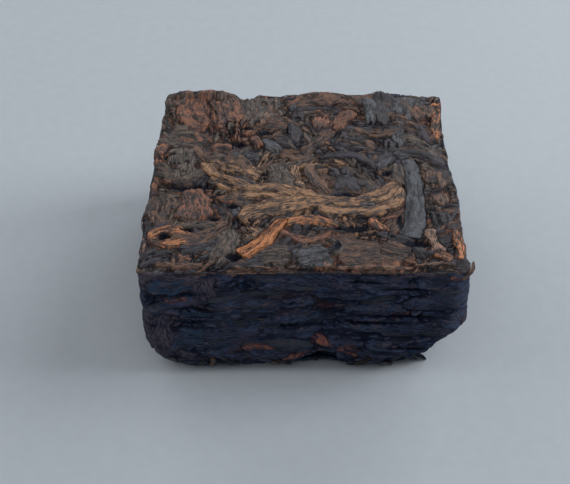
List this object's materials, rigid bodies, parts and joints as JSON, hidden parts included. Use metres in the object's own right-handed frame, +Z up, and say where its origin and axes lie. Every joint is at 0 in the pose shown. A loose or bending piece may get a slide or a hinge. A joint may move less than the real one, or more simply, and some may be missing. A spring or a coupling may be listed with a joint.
{
  "type": "pressed ripe pu erh tea brick",
  "caption": "Small square brick of pressed, fermented tea leaves, buds and stalks, broken up or steeped whole to brew a pot of dark tea.",
  "frame": {"origin": "on the ground under the middle of the brick", "axes": "+Z up, through the thickness of the brick; -Y towards the dark front of the picture; +X to its right"},
  "size_m": [0.027, 0.027, 0.0116],
  "materials": {
    "pressed_tea": "dry, matt to faintly waxy twisted leaves, near black to red brown, with tan and golden buds and a few paler stalks"
  },
  "bodies": {
    "root": {"tea_brick": "pressed_tea"}
  },
  "joints": []
}
